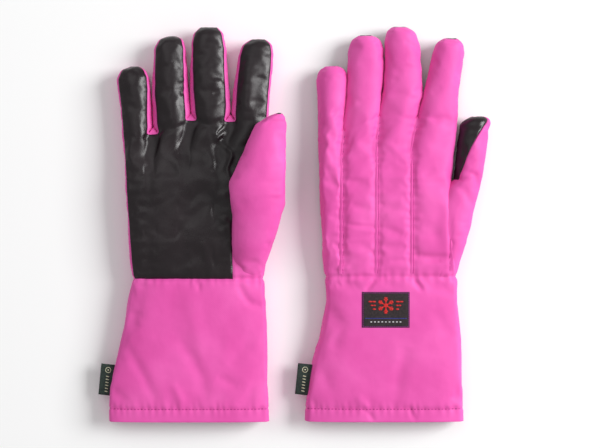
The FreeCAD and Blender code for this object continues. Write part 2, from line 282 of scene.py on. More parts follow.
def hand_grids(glove, fingers):
    """Top, right side, bottom and left side grids of the hand, and the three webs between the fingers."""
    s = np.linspace(0.0, 1.0, HAND_ROWS + 1)
    grids, webs = {}, []
    last = {}
    for side in ("top", "bottom"):
        row, seam_columns, finger_of, across = [], [], [], []
        for i, name in enumerate(FINGERS):
            grid = fingers[name][side][0]
            if side == "bottom":
                grid = grid[::-1]
            row += list(grid)
            finger_of += [i] * (PANEL_COLUMNS + 1)
            across += list(np.linspace(-1.0, 1.0, PANEL_COLUMNS + 1))
            if i < 3:
                crotch_u, crotch_v = glove["crotches"][i]
                valley = grid[-1][2] + (-1.6 if side == "top" else 1.6)
                row.append(np.array([crotch_u, crotch_v - 1.2, valley]))
                seam_columns.append(len(row) - 1)
                finger_of.append(-1)
                across.append(0.0)
        last[side] = (np.array(row), seam_columns, np.array(finger_of), np.array(across))
    for side in ("top", "bottom"):
        row, seam_columns, finger_of, across = last[side]
        is_back = (side == "top") != glove["palm_up"]
        v = s[:, None] * row[None, :, 1]
        anchors_end = np.array([row[0, 0]] + [row[c, 0] for c in seam_columns] + [row[-1, 0]])
        share = np.interp(row[:, 0], anchors_end, np.arange(5.0))
        strip = BACK_STRIP if is_back else OUTER_STRIP
        left = along(glove["hand_left"], v) + strip
        right = along(glove["hand_right"], v) - strip
        u = np.zeros_like(v)
        for c in range(v.shape[1]):
            near = smooth((v[:, c] - (row[c, 1] - 28.0)) / 28.0)
            places = [left[:, c]]
            for k in range(3):
                places.append(glove["seams"][k] * (1 - near) + anchors_end[k + 1] * near)
            places.append(right[:, c])
            low = min(int(share[c]), 3)
            part = share[c] - low
            u[:, c] = places[low] * (1 - part) + places[low + 1] * part
        if is_back:
            for k, c in enumerate(seam_columns):
                close = 1 - smooth((v[:, c] - (row[c, 1] - 40.0)) / 36.0)
                for offset in (-1, 1):
                    ridge_u = u[:, c] + offset * RIDGE_HALF
                    u[:, c + offset] = ridge_u * close + u[:, c + offset] * (1 - close)
        centre, half_width = (left + right) / 2, (right - left) / 2
        thick = np.interp(v, [0, 35, 95, 150], [WRIST_THICK, PALM_THICK - 1.5, PALM_THICK - 1.0, FINGER_THICK + 0.5])
        across_hand = (u - centre) / half_width
        drop = np.ones_like(v)
        if side == "top" and not glove["palm_up"]:
            at_root = smooth(v / 14.0) * (1 - smooth((v - 62.0) / 36.0))
            drop = np.where(across_hand > 0, 1 - at_root, 1.0)
        envelope = thick / 2 - HAND_DROP * drop * np.abs(across_hand) ** 4
        if is_back:
            fade = smooth(v / 25.0) * 0.75 + 0.25
            channel = np.where(finger_of >= 0, 1 - np.abs(across) ** 4, 0.0)
            envelope = envelope + CHANNEL_PUFF * fade * (channel[None, :] - 0.75)
            for c in seam_columns:
                envelope[:, c] += RIDGE * smooth(v[:, c] / 6.0)
        mound = np.abs(row[None, :, 2] - FINGER_THICK / 2)
        blend = smooth((s - 0.60) / 0.40)[:, None]
        height = envelope * (1 - blend) + mound * blend
        middle = thick / 2 * (1 - blend) + FINGER_THICK / 2 * blend
        z = middle + height * (1.0 if side == "top" else -1.0)
        grid = np.stack([u, v, z], axis=-1)
        grid[-1] = row
        grids[side] = grid
        if is_back:
            seams = [grid[1:-1, c] for c in seam_columns]
    rows = HAND_ROWS + 1
    bow = np.full(rows, 2.4)
    bow[-1] = 2.0
    bow = np.linspace(2.6, 2.0, rows)
    grids["right"] = curve(grids["top"][:, -1], grids["bottom"][:, -1], 1.0, SIDE_COLUMNS, bow)
    grids["left"] = curve(grids["bottom"][:, 0], grids["top"][:, 0], -1.0, SIDE_COLUMNS, bow)
    grids["right"][-1] = fingers["index"]["right"][0]
    grids["left"][-1] = fingers["little"]["left"][0]
    for k in range(3):
        left_wall = fingers[FINGERS[k]]["right"][0]
        right_wall = fingers[FINGERS[k + 1]]["left"][0][::-1]
        top_point = last["top"][0][last["top"][1][k]]
        bottom_point = last["bottom"][0][last["bottom"][1][k]]
        middle = (left_wall + right_wall) / 2
        q = np.linspace(0.0, 1.0, SIDE_COLUMNS + 1)
        middle[:, 2] = top_point[2] * (1 - q) + bottom_point[2] * q
        bulge = WEB_PALM if glove["palm_up"] else WEB_BACK
        middle[:, 1] = top_point[1] + bulge * np.sin(np.pi * q) ** 0.7
        middle[0], middle[-1] = top_point, bottom_point
        webs.append(np.stack([left_wall, middle, right_wall], axis=1))
    grids["bottom"] = grids["bottom"][:, ::-1]
    return grids, webs, seams


def cuff_grids(glove, hand):
    """Top, right side, bottom and left side grids of the cuff, from the hem to the wrist seam."""
    hem = glove["cuff_left"][-1][0]
    depth = np.linspace(hem, 0.0, CUFF_ROWS + 1)
    left, right = along(glove["cuff_left"], depth), along(glove["cuff_right"], depth)
    thick = np.interp(depth, [0, 30, hem], [WRIST_THICK, CUFF_THICK, HEM_THICK])
    grids = {}
    for side in ("top", "bottom"):
        wrist = hand[side][0] if side == "top" else hand[side][0][::-1]
        span = (wrist[:, 0] - wrist[0, 0]) / (wrist[-1, 0] - wrist[0, 0])
        inset = wrist[0, 0] - along(glove["cuff_left"], 0.0)
        even = np.linspace(0.0, 1.0, len(span))
        share = span[None, :] + (even - span)[None, :] * smooth(depth / 40.0)[:, None]
        u = (left + inset)[:, None] * (1 - share) + (right - inset)[:, None] * share
        x = 2 * share - 1
        flat = thick[:, None] / 2 - HAND_DROP * np.abs(x) ** 4
        at_wrist = np.abs(wrist[:, 2] - WRIST_THICK / 2)
        near = 1 - smooth(depth / 14.0)[:, None]
        height = flat * (1 - near) + at_wrist[None, :] * near
        z = thick[:, None] / 2 + height * (1.0 if side == "top" else -1.0)
        v = -np.repeat(depth[:, None], len(span), axis=1)
        grids[side] = np.stack([u, v, z], axis=-1)
        grids[side][-1] = wrist
    bow = np.linspace(2.6, 2.6, CUFF_ROWS + 1)
    grids["right"] = curve(grids["top"][:, -1], grids["bottom"][:, -1], 1.0, SIDE_COLUMNS, bow)
    grids["left"] = curve(grids["bottom"][:, 0], grids["top"][:, 0], -1.0, SIDE_COLUMNS, bow)
    grids["bottom"] = grids["bottom"][:, ::-1]
    return grids


HEM_STITCH = 13.0  # from the hem's edge to its stitching
LIP_INSET, LINING_INSET = 1.3, 5.2  # from the outer face to the turned-in hem, and to the lining
LINING_ROWS = 18  # of the hand's rows, as far as the lining is made


def lining_grid(cuff, hand):
    """The inside of the cuff and of the hand's near end, where it closes; returns it with its hem rows' count."""
    rings = []
    for grids in (cuff, hand):
        rings.append(np.concatenate([grids["top"][:, :-1], grids["right"][:, :-1], grids["bottom"][:, :-1],
                                     grids["left"]], axis=1))
    outer = np.concatenate([rings[0][:1], rings[0], rings[1][1:LINING_ROWS]])
    depth = outer[:, 0, 1] - outer[0, 0, 1]
    hem_rows = int(np.searchsorted(depth, HEM_STITCH))
    inset = np.where(np.arange(len(outer)) <= hem_rows, LIP_INSET, LINING_INSET)
    low, high = outer.min(axis=1), outer.max(axis=1)
    middle, half = (low + high) / 2, (high - low) / 2
    lining = outer.copy()
    for axis in (0, 2):
        share = 1 - inset / half[:, axis]
        if axis == 2:
            share[-1] = 0.0
        lining[:, :, axis] = middle[:, None, axis] + (outer[:, :, axis] - middle[:, None, axis]) * share[:, None]
    lining[1, :, 1] += 0.6
    lining[0] = outer[0]
    return lining[:, ::-1], hem_rows


THUMB_COLUMNS = 14
THUMB_PAD_COLUMNS = 6  # of the back-up thumb's top, the part that shows its grip pad
THUMB_ROWS = 56
THUMB_CROWN = 6.5
THUMB_WRAP = math.radians(30.0)
THUMB_PAD_START = 93.0
PAD_EDGE = ((0, 0.0), (93, 0.0), (104, 0.16), (118, 0.30), (134, 0.58), (147, 0.90), (152, 1.0), (156, 1.0))


def thumb_grids(glove):
    """Top, right side, bottom and left side grids of the thumb and its root."""
    tip = glove["thumb_left"][-1][0]
    shoulder = tip - 9.0
    t = np.linspace(0.0, 1.0, THUMB_ROWS + 1)
    psi = np.linspace(0.0, 1.0, TIP_ROWS + 1)[1:]
    wrap = THUMB_WRAP if glove["palm_up"] else -THUMB_WRAP
    grids, seams = {}, {}
    for side, sign in (("top", 1.0), ("bottom", -1.0)):
        angle = sign * math.pi / 2 + (wrap - sign * math.pi / 2) * psi
        reach = np.concatenate([np.zeros(THUMB_ROWS + 1), np.cos(angle)])
        lift = np.concatenate([np.full(THUMB_ROWS + 1, sign), np.sin(angle)])
        v = np.concatenate([shoulder * t, np.full(TIP_ROWS, shoulder)]) + (tip - shoulder) * reach
        full = np.abs(lift) ** 0.8
        u_left = along(glove["thumb_left"], v) + 2.2 * full
        u_right = along(glove["thumb_right"], v) - 1.6 * full
        u, q = panel_u(u_left, u_right, THUMB_COLUMNS)
        if side == "top" and not glove["palm_up"]:
            edge = along(PAD_EDGE, v)[:, None]
            k = np.arange(THUMB_COLUMNS + 1)[None, :]
            pad_part = np.minimum(k / THUMB_PAD_COLUMNS, 1.0) * edge
            shell_part = np.maximum(k - THUMB_PAD_COLUMNS, 0) / (THUMB_COLUMNS - THUMB_PAD_COLUMNS) * (1 - edge)
            q2 = pad_part + shell_part
            u = u_left[:, None] * (1 - q2) + u_right[:, None] * q2
        else:
            q2 = np.repeat(q[None, :], len(v), axis=0)
        body_v = shoulder * np.concatenate([t, np.ones(TIP_ROWS)])
        high, low = along(glove["thumb_top"], body_v), along(glove["thumb_bottom"], body_v)
        crown = np.minimum(THUMB_CROWN, (high - low) * 0.3)
        height = ((high - low) / 2)[:, None] - crown[:, None] * np.abs(2 * q2 - 1) ** 2.4
        z = ((high + low) / 2)[:, None] + lift[:, None] * height
        grid = np.stack([u, np.repeat(v[:, None], THUMB_COLUMNS + 1, axis=1), z], axis=-1)
        grids[side] = grid
        seams[side] = (grid[:, 0], grid[:, -1])
    fade = np.concatenate([np.ones(THUMB_ROWS + 1), np.cos(psi * math.pi / 2) ** 0.8])
    grids["right"] = curve(seams["top"][1], seams["bottom"][1], 1.0, SIDE_COLUMNS, 2.0 * fade)
    grids["left"] = curve(seams["bottom"][0], seams["top"][0], -1.0, SIDE_COLUMNS, 2.4 * fade)
    grids["bottom"] = grids["bottom"][:, ::-1]
    return grids


# ---- skin of one glove ----

PALM_EDGE, PALM_EDGE_END = 33.0, 55.0  # the palm panel ends at this u beside the thumb's root, up to this v


def build_skin(glove):
    """The base mesh of a glove's hand, fingers and cuff, that of its thumb, and its back's pinched seams."""
    palm, back = ("top", "bottom") if glove["palm_up"] else ("bottom", "top")
    fingers = {name: finger_grids(glove, name) for name in FINGERS}
    hand, webs, seams = hand_grids(glove, fingers)
    cuff = cuff_grids(glove, hand)
    body = Skin()
    for name in FINGERS:
        body.patch(fingers[name][palm], name + "_grip")
        for side in (back, "left", "right"):
            body.patch(fingers[name][side], name + "_shell")
    if glove["palm_up"]:
        rows = int(PALM_EDGE_END / 150.0 * HAND_ROWS)
        places = hand[palm][0, :, 0]
        beside = (places[:-1] + places[1:]) / 2 > PALM_EDGE
        body.patch(hand[palm][: rows + 1], ["hand_back" if pink else "palm_grip" for pink in beside])
        body.patch(hand[palm][rows:], "palm_grip")
    else:
        body.patch(hand[palm], "palm_grip")
    for side in (back, "left", "right"):
        body.patch(hand[side], "hand_back")
    for web in webs:
        body.patch(web, "hand_back")
    for side in ("top", "bottom", "left", "right"):
        body.patch(cuff[side], "cuff_shell")
    lining, hem_rows = lining_grid(cuff, hand)
    body.patch(lining[: hem_rows + 1], "cuff_lip")
    body.patch(lining[hem_rows:], "cuff_liner")
    thumb = Skin()
    grids = thumb_grids(glove)
    rows = thumb_row(glove, glove["thumb_split"])
    pad_row = rows if glove["palm_up"] else thumb_row(glove, THUMB_PAD_START)
    for side in ("top", "bottom", "left", "right"):
        grid = grids[side]
        thumb.patch(grid[: rows + 1], "thumb_gusset")
        if glove["palm_up"]:
            label = "thumb_grip" if side == "bottom" else "thumb_shell"
        elif side == "top":
            label = ["thumb_grip"] * THUMB_PAD_COLUMNS + ["thumb_shell"] * (THUMB_COLUMNS - THUMB_PAD_COLUMNS)
        else:
            label = "thumb_grip" if side == "left" else "thumb_shell"
        if pad_row > rows:
            thumb.patch(grid[rows: pad_row + 1], "thumb_shell")
        thumb.patch(grid[pad_row:], label)
    return body, thumb, seams


def thumb_row(glove, v):
    """The thumb's grid row at v."""
    shoulder = glove["thumb_left"][-1][0] - 9.0
    return int(round(v / shoulder * THUMB_ROWS))


# ---- mesh work ----

def mesh_of(name, points, faces, labels=None):
    """A Blender object, in metres, with each face's label number kept on the mesh."""
    mesh = bpy.data.meshes.new(name)
    mesh.from_pydata([tuple(p) for p in np.asarray(points) * MM], [], faces)
    if labels is not None:
        names = sorted(set(labels))
        layer = mesh.attributes.new("piece", "INT", "FACE")
        layer.data.foreach_set("value", [names.index(label) for label in labels])
        mesh["pieces"] = names
    mesh.polygons.foreach_set("use_smooth", [True] * len(mesh.polygons))
    mesh.update()
    item = bpy.data.objects.new(name, mesh)
    bpy.context.scene.collection.objects.link(item)
    return item


def evaluated_points(item):
    """The item's points in millimetres, with its modifiers applied."""
    shown = item.evaluated_get(bpy.context.evaluated_depsgraph_get()).data
    flat = np.zeros(len(shown.vertices) * 3)
    shown.vertices.foreach_get("co", flat)
    return flat.reshape(-1, 3) / MM


PRESSURE = 3.0
GROWTH = 0.018  # how much longer the fabric is than its panel, so that it rumples between the seams
CLOTH_FRAMES = 16
CLOTH_CAP = 1.3  # mm, the furthest that a point may move


def puffed(item, held):
    """Swells the fabric between its held points with a cloth simulation; moves the item's points."""
    group = item.vertex_groups.new(name="seams")
    for weight in sorted(set(held)):
        group.add([int(i) for i in np.nonzero(held == weight)[0]], float(weight), "REPLACE")
    cloth = item.modifiers.new("cloth", "CLOTH")
    settings = cloth.settings
    settings.quality = 6
    settings.mass = 0.2
    settings.tension_stiffness = settings.compression_stiffness = 25.0
    settings.shear_stiffness = 12.0
    settings.bending_stiffness = 3.0
    settings.use_pressure = True
    settings.uniform_pressure_force = PRESSURE
    settings.shrink_min = -GROWTH
    settings.effector_weights.gravity = 0.0
    settings.vertex_group_mass = group.name
    cloth.collision_settings.use_collision = False
    cloth.point_cache.frame_start, cloth.point_cache.frame_end = 1, CLOTH_FRAMES
    start = evaluated_points(item)
    scene = bpy.context.scene
    for number in range(1, CLOTH_FRAMES + 1):
        scene.frame_set(number)
    moved = evaluated_points(item)
    item.modifiers.remove(cloth)
    scene.frame_set(1)
    step = moved - start
    length = np.linalg.norm(step, axis=1)[:, None]
    step = step * CLOTH_CAP * np.tanh(length / CLOTH_CAP) / np.maximum(length, 1e-6)
    item.data.vertices.foreach_set("co", ((start + step) * MM).reshape(-1))
    item.data.update()


def subdivided(item):
    """The item's mesh after one subdivision, as points, faces and labels. The item is removed."""
    modifier = item.modifiers.new("round", "SUBSURF")
    modifier.levels = modifier.render_levels = 1
    mesh = bpy.data.meshes.new_from_object(item.evaluated_get(bpy.context.evaluated_depsgraph_get()))
    points = evaluated_points(item)
    faces = [list(p.vertices) for p in mesh.polygons]
    numbers = np.zeros(len(mesh.polygons), int)
    mesh.attributes["piece"].data.foreach_get("value", numbers)
    names = list(item.data["pieces"])
    bpy.data.objects.remove(item)
    bpy.data.meshes.remove(mesh)
    return points, faces, [names[n] for n in numbers]


def point_normals(points, faces):
    """Area-weighted normals of the points of a mesh of triangles and quads."""
    normals = np.zeros_like(points)
    quads = np.array([f if len(f) == 4 else f + f[-1:] for f in faces])
    corner = points[quads]
    face_normal = np.cross(corner[:, 2] - corner[:, 0], corner[:, 3] - corner[:, 1])
    for k in range(4):
        np.add.at(normals, quads[:, k], face_normal)
    return normals / np.maximum(np.linalg.norm(normals, axis=1), 1e-9)[:, None]


def border_points(faces, labels, group_of):
    """The points that faces of more than one group share."""
    owner = {}
    for face, label in zip(faces, labels):
        for corner in face:
            owner.setdefault(corner, set()).add(group_of(label))
    return np.array(sorted(corner for corner, groups in owner.items() if len(groups) > 1), int)


def colour_of(label):
    if label.endswith("grip"):
        return "black"
    return "liner" if label.endswith("liner") else "pink"


# ---- folds ----

# (points (u, v) along the fold, height in mm, half width in mm, lean: how much steeper its left side is)
FOLDS = {
    "right": (
        (((27.4, 148.7), (16.9, 141.1), (18.1, 134.7), (25.0, 128.0), (32.6, 121.9), (33.2, 117.2), (28.5, 105.6),
          (30.8, 97.4)), 1.7, 1.8, -0.5),
        (((19.5, 140.0), (24.0, 136.0)), 2.4, 6.0, 0.0),
        (((46.5, 160.0), (48.5, 185.0), (51.0, 212.0)), 2.2, 6.0, 0.0),
        (((-43.7, 141.0), (-51.3, 133.0)), -1.5, 2.6, 0.0),
        (((-37.9, 141.7), (-24.0, 149.9)), -1.6, 3.0, 0.4),
        (((-3.4, 152.0), (10.2, 146.6), (23.6, 151.0)), -1.9, 4.0, 0.3),
        (((-8.3, 151.0), (-20.5, 145.0), (-38.9, 141.3)), -1.3, 3.2, 0.3),
        (((30.7, 150.0), (20.0, 144.0), (8.0, 141.0)), -1.0, 2.6, 0.0),
        (((-11.0, 119.0), (-11.5, 101.0)), 0.7, 2.6, 0.0),
        (((2.0, 128.0), (8.0, 106.0), (20.0, 96.0)), -0.9, 6.0, 0.5),
        (((22.0, 107.0), (14.0, 101.0)), -1.0, 4.0, 0.0),
        (((24.0, 84.0), (25.5, 76.0)), 1.2, 3.4, 0.0),
        (((24.0, 60.0), (26.0, 53.0)), 1.2, 3.2, 0.0),
        (((22.5, 49.0), (26.0, 42.0)), 1.2, 3.2, 0.0),
        (((6.0, 36.0), (9.0, 18.0)), 0.8, 3.6, 0.0),
        (((-30.0, 122.0), (-22.0, 96.0), (-26.0, 74.0)), -0.7, 7.0, 0.3),
        (((-52.0, 96.0), (-40.0, 60.0), (-44.0, 30.0)), -0.6, 8.0, 0.3),
        (((-4.0, 84.0), (-10.0, 50.0)), -0.6, 8.0, 0.3),
        (((21.0, 182.0), (14.0, 177.0)), -1.0, 2.4, 0.3),
        (((24.0, 190.0), (13.0, 188.0)), 0.8, 2.6, 0.0),
        (((25.5, 172.0), (15.0, 166.0)), 0.9, 2.6, 0.0),
        (((-12.5, 193.0), (-19.0, 190.0)), 0.8, 2.6, 0.0),
        (((-11.5, 181.0), (-17.0, 177.0)), -0.8, 2.4, 0.0),
        (((45.0, 178.0), (46.5, 206.0)), 0.9, 4.0, -0.4),
        (((41.0, 206.0), (47.0, 214.0)), -0.8, 3.0, 0.0),
        (((-60.0, 200.0), (-66.0, 194.0)), -0.5, 3.0, 0.0),
        (((-70.0, -63.0), (-52.0, -95.0), (-40.0, -122.0)), -1.2, 5.5, 0.4),
        (((-18.0, -54.0), (-4.0, -76.0), (6.0, -96.0), (8.0, -118.0)), -1.15, 6.5, -0.4),
        (((-14.0, -120.0), (-24.0, -100.0)), 1.0, 4.0, 0.0),
        (((18.0, -94.0), (38.0, -104.0)), -1.0, 5.0, 0.3),
        (((2.0, -4.0), (1.0, -12.0)), -1.0, 2.2, 0.0),
        (((38.0, -4.0), (44.0, -16.0), (52.0, -26.0)), -1.2, 3.5, 0.4),
        (((-12.0, -8.0), (-4.0, -40.0), (4.0, -70.0)), 1.1, 9.0, 0.3),
        (((-56.0, -10.0), (-60.0, -40.0)), -0.9, 6.0, 0.4),
        (((54.0, -52.0), (30.0, -84.0)), -1.0, 7.0, 0.0),
    ),
    "left": (
        (((55.6, 61.5), (55.6, 4.0)), -1.3, 1.7, 0.0),
        (((-46.5, 51.0), (-30.0, 49.0), (-15.5, 48.0)), -1.5, 2.2, -0.5),
        (((-13.0, 50.6), (10.0, 40.8)), -1.5, 5.0, -0.5),
        (((20.0, 21.0), (38.0, 17.0), (54.3, 17.5)), -1.6, 4.0, 0.6),
        (((-46.0, 15.0), (-30.0, 17.0), (-15.5, 24.0)), -1.2, 4.0, 0.5),
        (((-2.0, 13.8), (18.8, 17.0)), -1.0, 2.6, 0.4),
        (((-46.0, 92.0), (-28.0, 91.0)), -0.8, 3.2, 0.0),
        (((17.6, 103.5), (4.0, 112.0)), -0.8, 3.0, 0.0),
        (((29.0, 96.0), (42.0, 103.0)), -1.0, 4.0, 0.3),
        (((-66.0, 106.0), (-52.0, 84.0)), -0.9, 4.0, 0.3),
        (((-64.0, 38.0), (-50.0, 26.0)), -1.0, 4.0, 0.3),
        (((-40.0, 70.0), (-22.0, 62.0)), -0.6, 4.0, 0.0),
        (((24.0, 52.0), (46.0, 40.0)), -0.9, 6.0, 0.3),
        (((46.0, 70.0), (40.0, 44.0), (46.0, 22.0)), -0.8, 6.0, 0.4),
        (((-14.0, 70.0), (14.0, 62.0)), -0.7, 5.0, 0.0),
        (((60.0, 97.0), (66.0, 93.0), (71.0, 96.0)), -1.3, 1.8, 0.0),
        (((72.0, 100.5), (80.0, 97.0), (82.5, 89.0), (79.0, 82.0)), -1.7, 2.8, 0.4),
        (((60.0, 88.0), (70.0, 80.0), (78.0, 66.0)), -1.2, 3.6, 0.4),
        (((2.0, 202.0), (14.0, 205.0), (24.0, 203.0)), 1.0, 3.0, 0.4),
        (((2.0, 196.0), (10.0, 197.5)), -0.8, 3.4, 0.0),
        (((0.0, 187.5), (6.0, 190.5)), -0.55, 2.8, 0.0),
        (((-38.0, 172.0), (-30.0, 167.0), (-16.0, 171.0)), -0.9, 3.0, 0.0),
        (((38.0, 176.0), (48.0, 182.0)), -0.9, 4.0, 0.0),
        (((36.0, 156.0), (46.0, 148.0)), -0.8, 5.0, 0.0),
        (((-52.0, 160.0), (-58.0, 154.0)), -1.0, 2.6, 0.0),
        (((-66.0, 148.0), (-54.0, 130.0)), -0.8, 4.0, 0.0),
        (((12.0, 226.0), (24.0, 221.0)), -0.7, 3.0, 0.0),
        (((-16.0, -2.0), (-26.0, -13.0)), -1.7, 2.4, 0.5),
        (((21.0, -2.0), (30.0, -13.0)), -1.8, 2.8, -0.5),
        (((-46.0, -40.0), (-58.0, -70.0)), -1.3, 6.0, 0.4),
        (((-70.0, -84.0), (-60.0, -110.0)), -0.9, 6.0, 0.3),
        (((14.0, -66.0), (6.0, -92.0), (2.0, -118.0)), -1.2, 7.0, 0.4),
        (((-22.0, -128.0), (-34.0, -114.0)), 0.9, 4.0, 0.0),
        (((-16.0, -138.0), (-26.0, -126.0)), -1.0, 2.2, 0.4),
        (((24.0, -138.0), (14.0, -122.0)), -0.9, 2.6, 0.4),
        (((40.0, -30.0), (56.0, -64.0)), -0.8, 7.0, 0.3),
    ),
}


def fold_height(folds, u, v):
    """How far the folds lift the fabric at u, v."""
    total = np.zeros(len(u))
    for points, height, width, lean in folds:
        line = np.array(points, float)
        steps = np.diff(line, axis=0)
        lengths = np.hypot(steps[:, 0], steps[:, 1])
        nearest = np.full(len(u), 1e9)
        share, side = np.zeros(len(u)), np.zeros(len(u))
        for k, (start, step, length) in enumerate(zip(line, steps, lengths)):
            t = np.clip(((u - start[0]) * step[0] + (v - start[1]) * step[1]) / length ** 2, 0.0, 1.0)
            du, dv = u - start[0] - t * step[0], v - start[1] - t * step[1]
            far = np.hypot(du, dv)
            closer = far < nearest
            nearest = np.where(closer, far, nearest)
            side = np.where(closer, (step[0] * dv - step[1] * du) / length, side)
            share = np.where(closer, (lengths[:k].sum() + t * length) / lengths.sum(), share)
        taper = np.clip(4.0 * share * (1.0 - share), 0.04, 1.0) ** 0.5
        total += height * taper * np.exp(-(nearest / width) ** 2) * (1.0 + lean * side / width)
    return total


def rumple(points, size, seed):
    """Smooth noise from -1 to 1 with features of about this size."""
    place = Vector((seed * 7.3, seed * 3.1, seed * 5.7))
    return np.array([noise.noise(Vector(p) / size + place) for p in points])


def pucker(distance, position, reach, spacing, seed):
    """Small gathers that stand across a seam: distance from the seam, position along it."""
    near = np.abs(distance) < reach * 3.0
    wave = np.zeros(len(distance))
    at = position[near]
    warp = rumple(np.stack([at, np.zeros_like(at), np.zeros_like(at)], axis=1), spacing * 2.6, seed)
    strength = 0.6 + 0.7 * rumple(np.stack([at, np.ones_like(at), np.zeros_like(at)], axis=1), spacing * 4.0, seed)
    wave[near] = np.sin(2 * np.pi * at / spacing + 5.0 * warp) * np.clip(strength, 0.1, 1.3)
    return wave * np.exp(-(distance / reach) ** 2)


INSIDE = ("cuff_lip", "cuff_liner")


def shape_fabric(side, glove, points, faces, labels, seams):
    """Adds the folds, gathers and rumples of worn fabric to the points."""
    normals = point_normals(points, faces)
    u, v = points[:, 0], points[:, 1]
    upper = smooth((normals[:, 2] - 0.05) / 0.5)
    lower = smooth((-normals[:, 2] - 0.05) / 0.5)
    height = fold_height(FOLDS[side], u, v) * upper
    height += fold_height(FOLDS["left" if side == "right" else "right"], -u, v) * lower * 0.5
    height += 0.55 * rumple(points, 34.0, 1) + 0.28 * rumple(points, 13.0, 2)
    stitch_v = -glove["cuff_left"][-1][0] + HEM_STITCH
    height += 0.42 * pucker(v - stitch_v, u + points[:, 2], 5.5, 7.5, 3)
    height -= 0.7 * np.exp(-((v - stitch_v) / 1.6) ** 2)
    height += 0.5 * pucker(v, u, 6.0, 8.5, 4)
    height -= 1.3 * np.exp(-(v / 2.2) ** 2)
    back = lower if glove["palm_up"] else upper
    for k, seam in enumerate(seams):
        distance = u - np.interp(v, seam[:, 1], seam[:, 0], left=1e3, right=1e3)
        height += 0.62 * back * pucker(distance, v, 6.0, 8.0, 5 + k)
    inside = np.zeros(len(points), bool)
    for face, label in zip(faces, labels):
        if label in INSIDE:
            inside[face] = True
    height[inside] = 0.0
    points = points + normals * height[:, None]
    sewn = border_points(faces, labels, colour_of)
    points[sewn] -= normals[sewn] * 0.7
    points[:, 2] = np.maximum(points[:, 2], 0.0)
    return points


# ---- materials ----

def shader(name, colour, roughness):
    """A material with one Principled shader; returns the material, its nodes, links and that shader."""
    material = bpy.data.materials.new(name)
    material.use_nodes = True
    nodes, links = material.node_tree.nodes, material.node_tree.links
    principled = nodes["Principled BSDF"]
    principled.inputs["Base Color"].default_value = (*colour, 1.0)
    principled.inputs["Roughness"].default_value = roughness
    return material, nodes, links, principled


def noise_node(nodes, links, position, scale, detail=2.0):
    node = nodes.new("ShaderNodeTexNoise")
    node.inputs["Scale"].default_value = scale
    node.inputs["Detail"].default_value = detail
    links.new(position, node.inputs["Vector"])
    return node.outputs["Fac"]


def ramp(nodes, links, value, stops):
    """A colour ramp over value; stops are (place, colour)."""
    node = nodes.new("ShaderNodeValToRGB")
    elements = node.color_ramp.elements
    while len(elements) < len(stops):
        elements.new(0.5)
    for element, (place, colour) in zip(elements, stops):
        element.position = place
        element.color = (*colour, 1.0)
    links.new(value, node.inputs["Fac"])
    return node.outputs["Color"]


def maths(nodes, links, operation, a, b=None):
    node = nodes.new("ShaderNodeMath")
    node.operation = operation
    for socket, value in zip(node.inputs, (a, b)):
        if value is None:
            continue
        if isinstance(value, (int, float)):
            socket.default_value = value
        else:
            links.new(value, socket)
    return node.outputs[0]


def weave(nodes, links, position, thread):
    """A plain weave's height from 0 to 1: rows of warp and weft threads, thread metres apart."""
    split = nodes.new("ShaderNodeSeparateXYZ")
    links.new(position, split.inputs[0])
    waves = []
    for axis in ("X", "Y"):
        turned = maths(nodes, links, "MULTIPLY", split.outputs[axis], math.pi / thread)
        waves.append(maths(nodes, links, "SINE", turned))
    return maths(nodes, links, "MULTIPLY_ADD", waves[0], waves[1])


def bumped(nodes, links, principled, layers):
    """Chains bump nodes; layers are (height socket, strength, distance in metres)."""
    normal = None
    for height, strength, distance in layers:
        node = nodes.new("ShaderNodeBump")
        node.inputs["Strength"].default_value = strength
        node.inputs["Distance"].default_value = distance
        links.new(height, node.inputs["Height"])
        if normal is not None:
            links.new(normal, node.inputs["Normal"])
        normal = node.outputs["Normal"]
    links.new(normal, principled.inputs["Normal"])


PINK_SHADES = ((0.28, (0.74, 0.085, 0.385)), (0.52, (0.80, 0.105, 0.43)), (0.76, (0.86, 0.13, 0.475)))
BLACK_SHADES = ((0.3, (0.008, 0.0045, 0.006)), (0.7, (0.016, 0.010, 0.0125)))


def nylon():
    """Pink coated nylon: a fine plain weave, slow shade variation, faint grazing sheen."""
    material, nodes, links, principled = shader("pink_nylon", PINK_SHADES[1][1], 0.55)
    position = nodes.new("ShaderNodeTexCoord").outputs["Object"]
    links.new(ramp(nodes, links, noise_node(nodes, links, position, 26.0, 3.0), PINK_SHADES),
              principled.inputs["Base Color"])
    principled.inputs["Specular IOR Level"].default_value = 0.2
    principled.inputs["Sheen Weight"].default_value = 0.08
    principled.inputs["Sheen Roughness"].default_value = 0.5
    principled.inputs["Sheen Tint"].default_value = (1.0, 0.55, 0.85, 1.0)
    bumped(nodes, links, principled, (
        (noise_node(nodes, links, position, 120.0, 3.0), 0.22, 0.0012),
        (weave(nodes, links, position, 0.0009), 0.10, 0.0003),
    ))
    return material


def vinyl():
    """Black coated grip fabric: satin, with a fine grain and rubbed patches."""
    material, nodes, links, principled = shader("black_grip", BLACK_SHADES[0][1], 0.36)
    position = nodes.new("ShaderNodeTexCoord").outputs["Object"]
    links.new(ramp(nodes, links, noise_node(nodes, links, position, 22.0, 4.0), BLACK_SHADES),
              principled.inputs["Base Color"])
    wear = ramp(nodes, links, noise_node(nodes, links, position, 40.0, 5.0),
                ((0.35, (0.26, 0.26, 0.26)), (0.65, (0.40, 0.40, 0.40))))
    links.new(wear, principled.inputs["Roughness"])
    principled.inputs["Specular IOR Level"].default_value = 0.4
    bumped(nodes, links, principled, (
        (noise_node(nodes, links, position, 150.0, 4.0), 0.20, 0.0012),
        (weave(nodes, links, position, 0.0007), 0.12, 0.0002),
    ))
    return material


